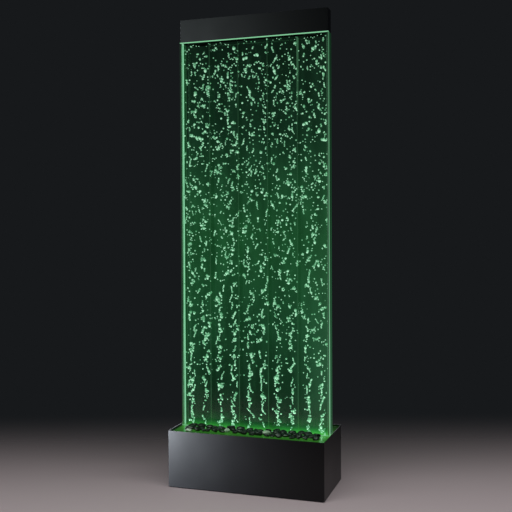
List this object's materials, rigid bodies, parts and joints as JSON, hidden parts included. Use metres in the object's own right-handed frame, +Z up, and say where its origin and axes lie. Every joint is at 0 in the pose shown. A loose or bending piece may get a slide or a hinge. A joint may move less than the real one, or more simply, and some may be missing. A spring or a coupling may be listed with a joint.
{
  "type": "bubble wall panel",
  "caption": "Tall free-standing water panel lit green from below, with bubbles rising in clear chambers between a black base cabinet and a black cap.",
  "frame": {"origin": "on the floor under the middle of the base cabinet", "axes": "+Z up along the tank's height, +X to the right as seen from the front, front towards -Y, doors and switches at +Y"},
  "size_m": [0.62, 0.29, 1.83],
  "materials": {
    "powder_coat_black": "satin powder coat",
    "zinc_plated_steel": "bright zinc plate",
    "gloss_black_acrylic": "polished gloss",
    "clear_acrylic": "clear, polished",
    "edge_lit_acrylic": "clear, polished, carrying green light",
    "smoked_acrylic": "smoked, polished",
    "black_rubber": "matte",
    "black_plastic": "fine moulded texture",
    "grey_plastic": "fine moulded texture",
    "extruded_aluminium": "plain extruded",
    "green_lit_diffuser": "milky diffuser over green light-emitting diodes",
    "clear_silicone": "smooth, milky",
    "nickel_plated_brass": "nickel plate",
    "dark_pebble": "polished river pebble",
    "pale_pebble": "smooth river pebble"
  },
  "bodies": {
    "standing_panel": {"cabinet_shell": "powder_coat_black", "bottom_plate": "zinc_plated_steel", "deck": "gloss_black_acrylic", "foot_front_left": "black_rubber", "foot_front_right": "black_rubber", "foot_rear_left": "black_rubber", "foot_rear_right": "black_rubber", "hinge_bracket_upper": "zinc_plated_steel", "hinge_bracket_lower": "zinc_plated_steel", "hinge_pin_upper": "zinc_plated_steel", "hinge_pin_lower": "zinc_plated_steel", "magnet_catch": "black_plastic", "tank_stand_left": "black_plastic", "tank_stand_middle": "black_plastic", "tank_stand_right": "black_plastic", "tank_front": "clear_acrylic", "tank_back": "smoked_acrylic", "tank_left": "edge_lit_acrylic", "tank_right": "edge_lit_acrylic", "tank_bottom": "clear_acrylic", "divider_1": "clear_acrylic", "divider_2": "clear_acrylic", "divider_3": "clear_acrylic", "divider_4": "clear_acrylic", "air_rail": "black_plastic", "led_channel_front": "extruded_aluminium", "led_channel_rear": "extruded_aluminium", "led_strip_front": "green_lit_diffuser", "led_strip_rear": "green_lit_diffuser", "led_driver": "extruded_aluminium", "led_lead": "black_rubber", "air_pump_sole": "black_rubber", "air_pump_body": "black_plastic", "air_pump_lid": "grey_plastic", "air_hose_lower": "clear_silicone", "check_valve": "grey_plastic", "air_hose_upper": "clear_silicone", "drain_pipe": "grey_plastic", "drain_valve": "nickel_plated_brass", "connection_panel": "powder_coat_black", "mains_inlet": "black_plastic", "switch_housing_air": "black_plastic", "switch_housing_light": "black_plastic", "pebble_1": "dark_pebble", "pebble_2": "pale_pebble", "pebble_3": "dark_pebble", "pebble_4": "pale_pebble", "pebble_5": "dark_pebble", "pebble_6": "dark_pebble", "pebble_7": "pale_pebble", "pebble_8": "dark_pebble", "pebble_9": "dark_pebble", "pebble_10": "dark_pebble"},
    "cap": {"cap_shell": "powder_coat_black", "cap_saddle_left": "black_plastic", "cap_saddle_right": "black_plastic"},
    "door": {"service_door": "powder_coat_black"},
    "drain_handle": {"drain_lever": "black_plastic"},
    "air_switch": {"switch_rocker_air": "grey_plastic"},
    "light_switch": {"switch_rocker_light": "grey_plastic"}
  },
  "joints": [
    {"name": "cap_lift", "type": "slide", "parent": "standing_panel", "child": "cap", "axis": [0, 0, 1], "range_m": [0, 0.15]},
    {"name": "service_door_hinge", "type": "hinge", "parent": "standing_panel", "child": "door", "pos_m": [0.27, 0.1405, 0.11], "axis": [0, 0, -1], "range_deg": [0, 110]},
    {"name": "drain_lever_turn", "type": "hinge", "parent": "standing_panel", "child": "drain_handle", "pos_m": [0.246, 0.076, 0.0725], "axis": [0, 0, -1], "range_deg": [0, 90]},
    {"name": "air_switch_rock", "type": "hinge", "parent": "standing_panel", "child": "air_switch", "pos_m": [-0.269, 0.133, 0.132], "axis": [-1, 0, 0], "range_deg": [0, 16]},
    {"name": "light_switch_rock", "type": "hinge", "parent": "standing_panel", "child": "light_switch", "pos_m": [-0.241, 0.133, 0.132], "axis": [-1, 0, 0], "range_deg": [0, 16]}
  ]
}
